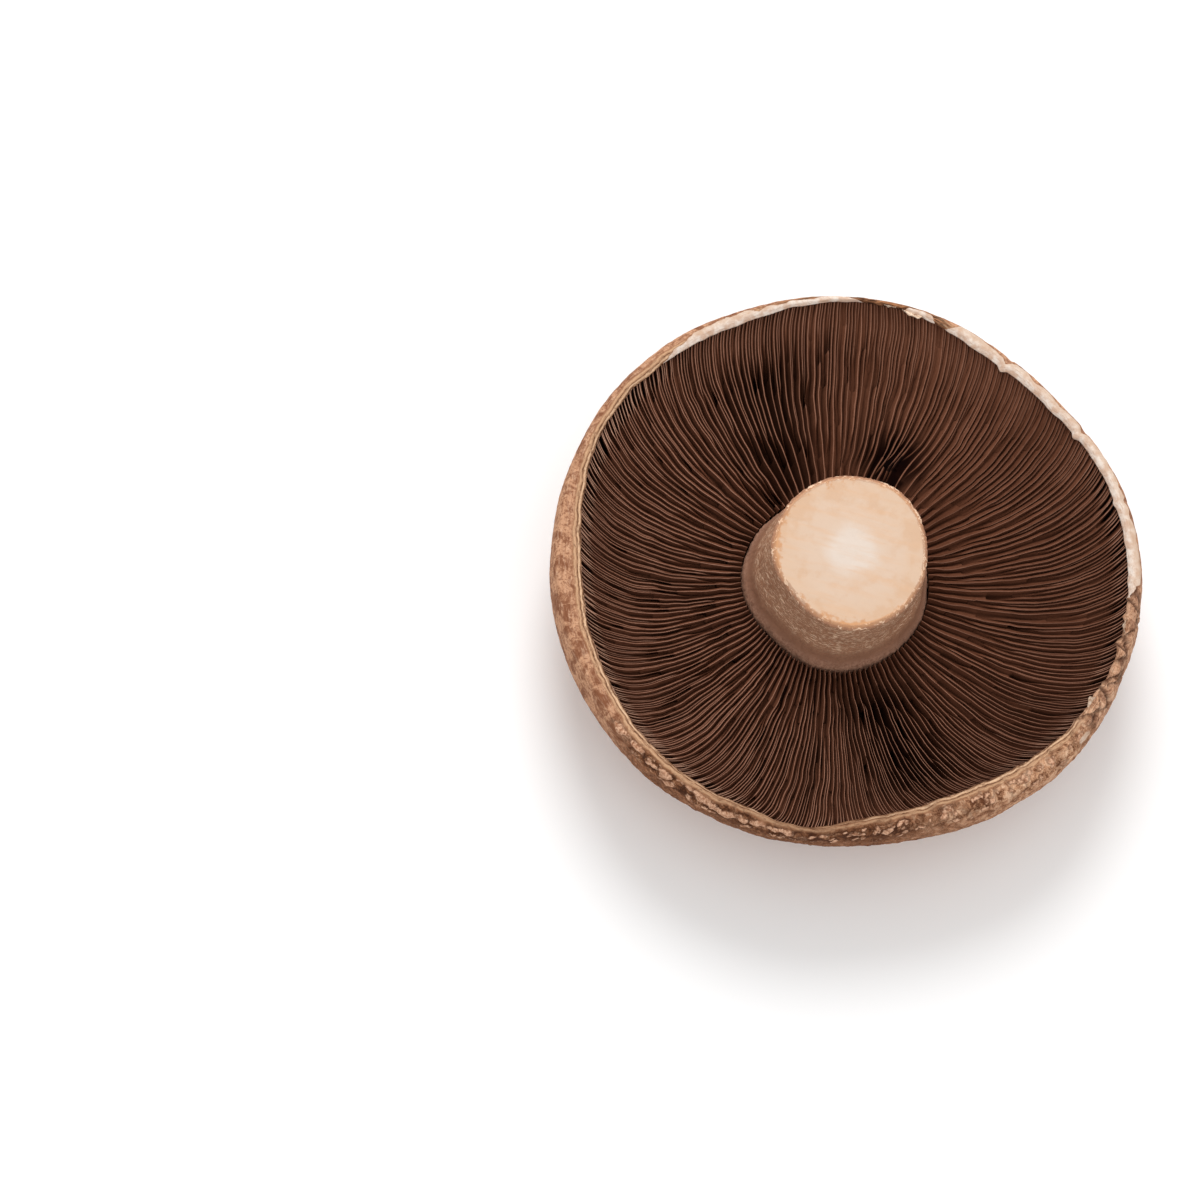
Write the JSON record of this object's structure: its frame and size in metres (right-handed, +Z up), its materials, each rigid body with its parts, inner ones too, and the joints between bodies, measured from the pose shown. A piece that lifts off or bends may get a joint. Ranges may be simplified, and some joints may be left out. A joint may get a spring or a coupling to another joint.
{
  "type": "portobello mushroom",
  "caption": "Whole portobello mushroom with a short cut stem, lying on the crown of its cap with the dark gills facing up.",
  "frame": {"origin": "middle of the flat spot at the crown of the cap, on the surface that the mushroom lies on", "axes": "+Z up, from the crown out through the cut end of the stem; +Y towards the far side of the picture's view, +X to its right"},
  "size_m": [0.1142, 0.1114, 0.0382],
  "materials": {
    "skin": "matt to satin brown skin with fine radial fibres, pale warts and a cream margin",
    "gill": "matt chocolate brown blades, paler along their free edges",
    "stem": "matt cream cut face with a bruised edge over a brown fibrous side"
  },
  "bodies": {
    "root": {"cap": "skin", "gills": "gill", "stem": "stem"}
  },
  "joints": []
}
